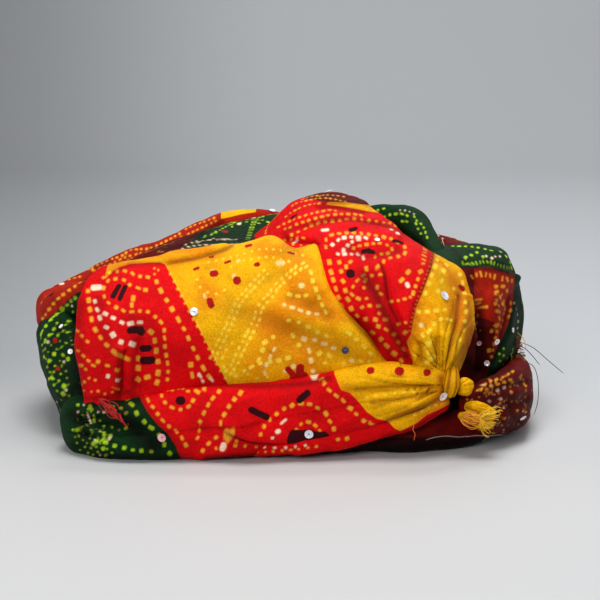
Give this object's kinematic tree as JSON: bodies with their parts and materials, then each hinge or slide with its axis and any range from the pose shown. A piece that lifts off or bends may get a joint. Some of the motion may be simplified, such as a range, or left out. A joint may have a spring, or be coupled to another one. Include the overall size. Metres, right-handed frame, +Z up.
{
  "type": "tied turban pagri",
  "caption": "Soft ready-tied turban of printed cotton wraps, puffed and knotted at the front right, hollow below for the head.",
  "frame": {"origin": "middle of the footprint, on the table it rests on", "axes": "+X towards the wearer's left, which is the side with the knot, +Y towards the back of the turban, +Z up"},
  "size_m": [0.24, 0.191, 0.1067],
  "materials": {
    "lining_maroon": "plain woven cotton, matt",
    "print_green": "cotton, tie-dye dots on dark green, matt",
    "print_yellow": "cotton, tie-dye dots on golden yellow, matt",
    "print_red": "cotton, tie-dye dots on scarlet, matt",
    "print_maroon": "cotton, tie-dye dots on dark red, matt"
  },
  "bodies": {
    "root": {"inner_cap": "lining_maroon", "rear_wrap": "print_green", "right_wrap": "print_green", "front_panel": "print_yellow", "top_puff": "print_red", "crest_fold": "print_green", "ridge_fold": "print_maroon", "rear_fold": "print_maroon", "brim_roll": "print_red", "under_fold": "print_red", "under_roll": "print_red", "side_roll": "print_maroon", "knot_loop": "print_yellow", "knot_tuck": "print_yellow", "tail_leaf": "print_yellow", "tail_fringe": "print_yellow"}
  },
  "joints": []
}
